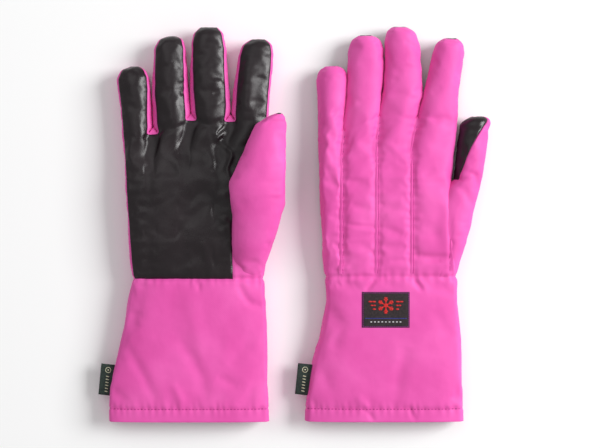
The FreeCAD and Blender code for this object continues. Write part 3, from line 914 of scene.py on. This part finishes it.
def cloth_of(name, shades, roughness, thread, grain):
    """A plain woven or knitted material with two shades."""
    material, nodes, links, principled = shader(name, shades[0], roughness)
    position = nodes.new("ShaderNodeTexCoord").outputs["Object"]
    mixed = ramp(nodes, links, noise_node(nodes, links, position, grain, 3.0), ((0.35, shades[0]), (0.65, shades[1])))
    links.new(mixed, principled.inputs["Base Color"])
    bumped(nodes, links, principled, ((weave(nodes, links, position, thread), 0.5, thread * 0.5),))
    return material


MATERIALS = {
    "pink": nylon(),
    "black": vinyl(),
    # the dark magenta thread is real stitching, and along the pinched seams it also stands in for painted shade in
    # their creases
    "thread": cloth_of("magenta_thread_and_crease_shade", ((0.42, 0.012, 0.19), (0.55, 0.02, 0.26)), 0.6, 0.0004, 300.0),
    "liner": cloth_of("liner_knit", ((0.10, 0.11, 0.14), (0.16, 0.17, 0.20)), 0.95, 0.0016, 200.0),
    "label": cloth_of("label_ground", ((0.014, 0.008, 0.010), (0.033, 0.020, 0.024)), 0.8, 0.0006, 500.0),
    "red": cloth_of("red_thread", ((0.62, 0.008, 0.008), (0.80, 0.02, 0.015)), 0.5, 0.0005, 600.0),
    "blue": cloth_of("blue_thread", ((0.02, 0.03, 0.30), (0.03, 0.05, 0.42)), 0.5, 0.0005, 600.0),
    "white": cloth_of("white_thread", ((0.70, 0.70, 0.72), (0.85, 0.85, 0.85)), 0.5, 0.0005, 600.0),
    "edge": cloth_of("purple_thread", ((0.30, 0.01, 0.26), (0.42, 0.02, 0.36)), 0.5, 0.0005, 600.0),
    "tab": cloth_of("tab_tape", ((0.010, 0.022, 0.018), (0.025, 0.045, 0.036)), 0.7, 0.0007, 500.0),
    "cream": cloth_of("cream_thread", ((0.55, 0.55, 0.36), (0.72, 0.72, 0.52)), 0.5, 0.0005, 600.0),
}


# ---- stage ----

KEY_LIGHT = ((2.6, 0.7, 1.75), 1.6, 112.0)
FILL_LIGHT = ((-0.5, 0.7, 1.5), 1.2, 3.2)
VIEW_WIDTH = 0.576  # metres across the picture at the gloves' top
VIEW_SHIFT = (0.0052, 0.0001)
VIEW_LEVEL = 0.022


def build_stage():
    """A pale floor, soft studio lamps and the camera straight above the pair."""
    bpy.ops.mesh.primitive_plane_add(size=6.0, location=(0.0, 0.0, -0.0005))
    floor = bpy.context.object
    floor.name = "floor"
    floor.data.materials.append(shader("floor", (0.95, 0.95, 0.95), 0.9)[0])
    world = bpy.data.worlds.new("studio")
    world.use_nodes = True
    backdrop = world.node_tree.nodes["Background"]
    backdrop.inputs["Color"].default_value = (1.0, 1.0, 1.0, 1.0)
    backdrop.inputs["Strength"].default_value = 0.45
    scene = bpy.context.scene
    scene.world = world
    for name, (place, size, power) in (("key", KEY_LIGHT), ("fill", FILL_LIGHT)):
        data = bpy.data.lights.new(name, "AREA")
        data.size, data.energy = size, power
        lamp = bpy.data.objects.new(name, data)
        lamp.location = place
        lamp.rotation_euler = (-lamp.location).to_track_quat("-Z", "Y").to_euler()
        scene.collection.objects.link(lamp)
    data = bpy.data.cameras.new("camera")
    data.lens, data.sensor_width = 85.0, 36.0
    camera = bpy.data.objects.new("camera", data)
    distance = VIEW_WIDTH * data.lens / data.sensor_width
    camera.location = (VIEW_SHIFT[0], VIEW_SHIFT[1], distance + VIEW_LEVEL)
    scene.collection.objects.link(camera)
    scene.camera = camera
    scene.view_settings.view_transform = "Standard"


# ---- small parts ----

class Parts:
    """Collects small meshes that become one piece."""

    def __init__(self):
        self.points, self.faces, self.colours = [], [], []

    def add(self, points, faces, colour):
        shift = len(self.points)
        self.points += [tuple(p) for p in points]
        self.faces += [[c + shift for c in f] for f in faces]
        self.colours += [colour] * len(faces)

    def rod(self, a, b, radius, colour, normal=(0.0, 0.0, 1.0), flat=0.6):
        """A thread from a to b: a flattened six-sided rod with drawn-in ends."""
        a, b, up = np.array(a, float), np.array(b, float), np.array(normal, float)
        along_it = (b - a) / max(np.linalg.norm(b - a), 1e-9)
        across = np.cross(along_it, up)
        across /= max(np.linalg.norm(across), 1e-9)
        up = np.cross(across, along_it)
        rings = []
        inset = min(radius, np.linalg.norm(b - a) * 0.3)
        for centre, size in ((a, 0.45), (a + along_it * inset, 1.0), (b - along_it * inset, 1.0), (b, 0.45)):
            ring = []
            for k in range(6):
                angle = math.pi / 3 * k
                ring.append(centre + radius * size * (across * math.cos(angle) + up * math.sin(angle) * flat))
            rings.append(ring)
        points = [p for ring in rings for p in ring]
        faces = [[r * 6 + k, r * 6 + (k + 1) % 6, r * 6 + 6 + (k + 1) % 6, r * 6 + 6 + k]
                 for r in range(3) for k in range(6)]
        faces += [[5, 4, 3, 2, 1, 0], [18, 19, 20, 21, 22, 23]]
        self.add(points, faces, colour)

    def slab(self, top, thick, colour):
        """A closed sheet: top is a grid of points, and its underside lies thick below along the grid's normals."""
        rows, columns = top.shape[:2]
        du = np.gradient(top, axis=1)
        dv = np.gradient(top, axis=0)
        normal = np.cross(du, dv)
        normal /= np.linalg.norm(normal, axis=2)[:, :, None]
        under = top - normal * thick
        number = np.arange(rows * columns).reshape(rows, columns)
        far = rows * columns
        faces = []
        for r in range(rows - 1):
            for c in range(columns - 1):
                a, b, d, e = number[r, c], number[r, c + 1], number[r + 1, c + 1], number[r + 1, c]
                faces += [[a, b, d, e], [far + e, far + d, far + b, far + a]]
        rim = list(number[0, :]) + list(number[1:, -1]) + list(number[-1, -2::-1]) + list(number[-2:0:-1, 0])
        for a, b in zip(rim, rim[1:] + rim[:1]):
            faces.append([b, a, far + a, far + b])
        self.add(np.concatenate([top.reshape(-1, 3), under.reshape(-1, 3)]), [[int(c) for c in f] for f in faces],
                 colour)

    def build(self, name, offset):
        points = np.array(self.points) + offset
        points[:, 2] = np.maximum(points[:, 2], 0.0)
        item = mesh_of(name, points, self.faces)
        palette = sorted(set(self.colours))
        for colour in palette:
            item.data.materials.append(MATERIALS[colour])
        item.data.polygons.foreach_set("material_index", [palette.index(c) for c in self.colours])
        return item


class Surface:
    """Finds the height of a glove's upper or lower face."""

    def __init__(self, points, faces):
        self.tree = BVHTree.FromPolygons([tuple(p) for p in points], faces)

    def at(self, u, v, top=True):
        """The surface point and its normal, seen from straight above or below."""
        start = Vector((u, v, 200.0 if top else -200.0))
        place, normal, _, _ = self.tree.ray_cast(start, Vector((0.0, 0.0, -1.0 if top else 1.0)))
        if place is None:
            return np.array((u, v, 0.0)), np.array((0.0, 0.0, 1.0 if top else -1.0))
        return np.array(place), np.array(normal)


TUCK_PROFILE = ((-3.2, -0.4), (-1.9, 0.02), (-0.9, 0.42), (-0.1, 0.66), (0.4, 0.5), (0.55, 0.1), (0.35, -0.8))


def tuck_path(surface, seam, top):
    """Points and heights along a pinched seam, with its small wander."""
    length = seam[-1, 1] - seam[0, 1]
    count = int(length / 2.4)
    path = []
    for k in range(count + 1):
        v = seam[0, 1] + length * k / count
        wander = 0.55 * noise.noise(Vector((v / 8.0, seam[0, 0], 0.0)))
        u = float(np.interp(v, seam[:, 1], seam[:, 0])) + wander
        place, _ = surface.at(u, v, top)
        size = 0.85 + 0.5 * noise.noise(Vector((v / 7.0, seam[0, 0], 5.0)))
        path.append((place, size))
    return path


def add_tuck(parts, surface, seam, top):
    """A pinched seam: a narrow fold that leans to one side, with a dark magenta thread rod in the crease beside it that
    is its stitching and also paints the crease's shade.
    """
    path = tuck_path(surface, seam, top)
    up = 1.0 if top else -1.0
    rings = []
    last = len(path) - 1
    for k, (place, size) in enumerate(path):
        fade = min(1.0, 0.15 + k / 4.0, 0.15 + (last - k) / 4.0)
        ring = [place + np.array((x, 0.0, up * z * (size * fade if z > 0 else 1.0))) for x, z in TUCK_PROFILE]
        rings.append([np.array((p[0], p[1], max(p[2], 0.0))) for p in ring])
    width = len(TUCK_PROFILE)
    faces = []
    for r in range(last):
        for c in range(width - 1):
            quad = [r * width + c, r * width + c + 1, (r + 1) * width + c + 1, (r + 1) * width + c]
            faces.append(quad if top else quad[::-1])
    parts.add([p for ring in rings for p in ring], faces, "pink")
    # dark thread rods at the foot of the fold: the seam's stitching, and painted shade in the crease beside the fold
    for (place, _), (following, _) in zip(path, path[1:]):
        shift = np.array((0.85, 0.0, 0.0))
        parts.rod(place + shift, following + shift, 0.5, "thread", (0.0, 0.0, up), 0.4)


STITCH, STITCH_STEP = 2.1, 3.3


def add_stitches(parts, surface, line, colour, top=True, size=0.3):
    """A row of short stitches along a line of (u, v) points."""
    line = np.array(line, float)
    lengths = np.concatenate([[0.0], np.cumsum(np.hypot(*np.diff(line, axis=0).T))])
    up = 1.0 if top else -1.0
    for k in range(int(lengths[-1] / STITCH_STEP)):
        ends = []
        for s in (k * STITCH_STEP + 0.5, k * STITCH_STEP + 0.5 + STITCH):
            place, _ = surface.at(float(np.interp(s, lengths, line[:, 0])), float(np.interp(s, lengths, line[:, 1])), top)
            ends.append(place)
        if ends[0][2] * up > -1e3:
            parts.rod(ends[0], ends[1], size, colour, (0.0, 0.0, up))


LABELS = {"right": (-22.75, 22.75, -48.5, -14.5), "left": (-28.7, 16.8, -48.5, -14.4)}
LABEL_THICK = 0.7
LABEL_GRID = (30, 24)


def label_parts(surface, side, top):
    """The woven patch: dark ground, a red snow crystal between two bars, a blue line and a row of white marks."""
    u0, u1, v0, v1 = LABELS[side]
    up = 1.0 if top else -1.0
    ground, parts = Parts(), Parts()
    columns, rows = LABEL_GRID
    grid = np.zeros((rows + 1, columns + 1, 3))
    for r in range(rows + 1):
        for c in range(columns + 1):
            u, v = u0 + (u1 - u0) * c / columns, v0 + (v1 - v0) * r / rows
            place, _ = surface.at(u, v, top)
            rim = min(r, rows - r, c, columns - c)
            lift = LABEL_THICK * (0.55 if rim == 0 else 0.9 if rim == 1 else 1.0)
            grid[r, c] = (u, v, max(place[2] + up * lift, 0.0 if top else 0.05))
    for _ in range(3):
        inner = (grid[:-2, 1:-1] + grid[2:, 1:-1] + grid[1:-1, :-2] + grid[1:-1, 2:]) / 4.0
        grid[1:-1, 1:-1, 2] = np.maximum(grid[1:-1, 1:-1, 2] * 0.4 + inner[:, :, 2] * 0.6, 0.0)
    ground.slab(grid if top else grid[:, ::-1], LABEL_THICK * 0.9, "label")

    def on_label(x, y):
        """A point on the patch from x, y in millimetres from its middle."""
        c = (x + (u1 - u0) / 2) / (u1 - u0) * columns
        r = (y + (v1 - v0) / 2) / (v1 - v0) * rows
        c0, r0 = min(int(c), columns - 1), min(int(r), rows - 1)
        fc, fr = c - c0, r - r0
        low = grid[r0, c0] * (1 - fc) + grid[r0, c0 + 1] * fc
        high = grid[r0 + 1, c0] * (1 - fc) + grid[r0 + 1, c0 + 1] * fc
        return low * (1 - fr) + high * fr + np.array((0.0, 0.0, 0.08 * up))

    def thread(a, b, size, colour):
        steps = max(1, int(math.hypot(b[0] - a[0], b[1] - a[1]) / 2.5))
        for k in range(steps):
            ends = []
            for t in (k / steps, (k + 1) / steps):
                ends.append(on_label(a[0] * (1 - t) + b[0] * t, a[1] * (1 - t) + b[1] * t))
            parts.rod(ends[0], ends[1], size, colour, (0.0, 0.0, up), 0.4)

    crystal = (0.0, 4.2)
    for k in range(6):
        angle = math.pi / 3 * k + math.pi / 6
        arm = np.array((math.cos(angle), math.sin(angle)))
        tip = np.array(crystal) + arm * 8.0
        thread(crystal, tip, 0.75, "red")
        for turn in (-1, 1):
            spread = angle + turn * math.pi / 4
            twig = np.array((math.cos(spread), math.sin(spread)))
            for reach, size in ((4.2, 2.8), (6.2, 2.0)):
                root = np.array(crystal) + arm * reach
                thread(root, root + twig * size, 0.5, "red")
    for turn in (-1, 1):
        for k, span in enumerate((7.0, 5.0, 3.0)):
            y = crystal[1] + 3.6 - 3.6 * k
            thread((turn * 9.6, y), (turn * (9.6 + span), y), 0.75, "red")
    thread((-20.0, -8.2), (20.0, -8.2), 0.3, "blue")
    for k in range(9):
        x = -14.0 + 3.5 * k
        thread((x - 0.9, -11.6), (x + 0.9, -11.6), 0.5, "white")
    half_u, half_v = (u1 - u0) / 2 - 0.9, (v1 - v0) / 2 - 0.9
    corners = ((-half_u, -half_v), (half_u, -half_v), (half_u, half_v), (-half_u, half_v))
    for a, b in zip(corners, corners[1:] + corners[:1]):
        steps = int(math.hypot(b[0] - a[0], b[1] - a[1]) / 2.0)
        for k in range(steps):
            t0, t1 = k / steps, (k + 0.7) / steps
            p = on_label(a[0] * (1 - t0) + b[0] * t0, a[1] * (1 - t0) + b[1] * t0)
            q = on_label(a[0] * (1 - t1) + b[0] * t1, a[1] * (1 - t1) + b[1] * t1)
            parts.rod(p, q, 0.26, "edge", (0.0, 0.0, up))
    return ground, parts


TABS = {"right": (-81.6, -98.5, -6.0), "left": (-77.5, -100.2, -6.0)}
TAB_WIDTH, TAB_LENGTH, TAB_THICK = 14.0, 30.0, 1.7


def tab_parts(side, level):
    """The folded tape tab: two layers that meet in a rounded fold, with a ring and short bars woven on both faces."""
    seam_u, middle_v, tilt = TABS[side]
    turn = math.radians(tilt)
    parts = Parts()
    profile = []
    for k in range(9):
        angle = math.pi / 2 + math.pi * k / 8
        profile.append((-TAB_WIDTH + TAB_THICK / 2 + TAB_THICK / 2 * math.cos(angle), TAB_THICK / 2 * math.sin(angle)))
    outline = [(3.0, TAB_THICK / 2)] + [(-x, TAB_THICK / 2) for x in (0.0, 3.0, 6.0, 9.0)] + profile
    outline += [(-x, -TAB_THICK / 2) for x in (9.0, 6.0, 3.0, 0.0)] + [(3.0, -TAB_THICK / 2)]

    def place(x, y, z):
        bend = 0.9 * math.sin(y / 9.0) * (-x / TAB_WIDTH) + 0.5 * math.cos(x / 5.0) * (-x / TAB_WIDTH)
        return np.array((seam_u + x * math.cos(turn) - y * math.sin(turn),
                         middle_v + x * math.sin(turn) + y * math.cos(turn), level + z + bend))

    rows = 12
    points, faces = [], []
    for r in range(rows + 1):
        y = TAB_LENGTH * (r / rows - 0.5)
        points += [place(x, y, z) for x, z in outline]
    width = len(outline)
    for r in range(rows):
        for c in range(width - 1):
            a = r * width + c
            faces.append([a + 1, a, a + width, a + width + 1])
    for start, flip in ((0, False), (rows * width, True)):
        for c in range(width // 2 - 1):
            quad = [start + c, start + c + 1, start + width - 2 - c, start + width - 1 - c]
            faces.append(quad[::-1] if flip else quad)
    parts.add(points, faces, "tab")
    for up in (1.0, -1.0):
        z = up * (TAB_THICK / 2 + 0.05)
        ring = [place(-6.6 + 2.6 * math.cos(t), 9.5 + 2.6 * math.sin(t), z) for t in np.linspace(0, 2 * math.pi, 13)]
        for a, b in zip(ring, ring[1:]):
            parts.rod(a, b, 0.4, "cream", (0.0, 0.0, up))
        parts.rod(place(-7.4, 9.5, z), place(-5.8, 9.5, z), 0.7, "cream", (0.0, 0.0, up))
        for k in range(6):
            y = 3.4 - 2.9 * k
            parts.rod(place(-8.2, y, z), place(-5.0, y - 0.4, z), 0.5, "cream", (0.0, 0.0, up))
    return parts


# ---- one glove ----

DART = tuple((55.6, 60.5 - 4.0 * k) for k in range(15))  # the stitched dart at the back-up thumb's root


def base_pins(points, faces, labels, seams, hem_v):
    """How firmly each base point is held: seams, hem and the face on the table are fixed, the rest is free."""
    held = np.zeros(len(points))
    held[border_points(faces, labels, colour_of)] = 1.0
    held[points[:, 2] < 0.6] = 1.0
    held[np.abs(points[:, 1]) < 0.5] = 1.0
    held[points[:, 1] < hem_v + HEM_STITCH + 1.0] = 1.0
    for face, label in zip(faces, labels):
        if label in INSIDE:
            held[face] = 1.0
    for seam in seams:
        at = np.interp(points[:, 1], seam[:, 1], seam[:, 0], left=1e3, right=1e3)
        held[np.abs(points[:, 0] - at) < RIDGE_HALF + 0.4] = 1.0
    return held


def make_piece(side, label, points, faces, normals, offset):
    used = np.unique(np.concatenate([np.array(f) for f in faces]))
    number = {int(old): new for new, old in enumerate(used)}
    item = mesh_of(side + "_" + label + "_cloth", points[used] + offset, [[number[c] for c in f] for f in faces])
    item.data.normals_split_custom_set_from_vertices([tuple(n) for n in normals[used]])
    item.data.materials.append(MATERIALS[colour_of(label)])
    return item


def make_skin(side, glove, skin, seams, offset):
    """Turns a skin into shaped pieces by label; returns them with their surface."""
    points, faces, labels = skin.welded()
    points[:, 2] = np.maximum(points[:, 2], 0.0)
    item = mesh_of(side + "_base", points, faces, labels)
    hem_v = -glove["cuff_left"][-1][0]
    puffed(item, base_pins(points, faces, labels, seams, hem_v))
    points, faces, labels = subdivided(item)
    points = shape_fabric(side, glove, points, faces, labels, seams)
    normals = {}
    for colour in set(colour_of(name) for name in labels):
        normals[colour] = point_normals(points, [f for f, name in zip(faces, labels) if colour_of(name) == colour])
    pieces = {}
    for label in sorted(set(labels)):
        own = [f for f, name in zip(faces, labels) if name == label]
        pieces[label] = make_piece(side, label, points, own, normals[colour_of(label)], offset)
    return pieces, Surface(points, faces)


def attach(item, side, label):
    """Makes a piece ride on the hand's body; pieces of the fingers, of the thumb beyond its gusset and of the cuff only
    get their transform baked.
    """
    digit = label.split("_")[0]
    hand_body = side + "_hand"
    if digit in FINGERS or (digit == "thumb" and label != "thumb_gusset"):
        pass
    elif digit == "cuff":
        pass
    else:
        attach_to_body(item, hand_body)
        return
    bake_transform(item)


def build_glove(side, glove):
    wrist = JOINTS[side + "_wrist_bend"]["pos_m"]
    offset = np.array([wrist[0] / MM, wrist[1] / MM, 0.0])
    body, thumb, seams = build_skin(glove)
    pieces, surface = make_skin(side, glove, body, seams, offset)
    thumb_pieces, thumb_surface = make_skin(side, glove, thumb, [], offset)
    pieces.update(thumb_pieces)
    for label, item in pieces.items():
        attach(item, side, label)
    back_is_top = not glove["palm_up"]
    trim = Parts()
    for seam in seams:
        add_tuck(trim, surface, seam, back_is_top)
    if back_is_top:
        for (u0, v0), (u1, v1) in zip(DART, DART[1:]):
            trim.rod(surface.at(u0, v0)[0], surface.at(u1, v1)[0], 0.36, "thread", flat=0.4)
    tucks = trim.build(side + "_back_tucks", offset)
    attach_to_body(tucks, side + "_hand")
    hem_v = -glove["cuff_left"][-1][0] + HEM_STITCH
    left, right = along(glove["cuff_left"], -hem_v), along(glove["cuff_right"], -hem_v)
    hem = Parts()
    for top in (True, False):
        add_stitches(hem, surface, ((left + 1.0, hem_v), (right - 1.0, hem_v)), "thread", top, size=0.46)
    stitches = hem.build(side + "_hem_stitches", offset)
    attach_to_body(stitches, side + "_cuff")
    ground, threads = label_parts(surface, side, back_is_top)
    label = ground.build(side + "_label", offset)
    motif = threads.build(side + "_label_threads", offset)
    for item in (label, motif):
        attach(item, side, "cuff_label")
    u0, u1, v0, v1 = LABELS[side]
    tab = tab_parts(side, 13.0).build(side + "_tab", offset)
    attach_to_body(tab, side + "_cuff")
    replaced = {"label_patch": label, "side_tab": tab, "hand_liner": pieces["cuff_liner"]}
    for name in NODES[side]:
        part = name[len(side) + 1:]
        digit, kind = part.split("_")[0], part.split("_")[-1]
        if part in replaced:
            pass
        elif part in pieces:
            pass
        else:
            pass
        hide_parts(name)
    return pieces


NODES = {side: [name for name in frame["nodes"] if name.startswith(side + "_")] for side in GLOVES}
build_stage()
for side, glove in GLOVES.items():
    build_glove(side, glove)
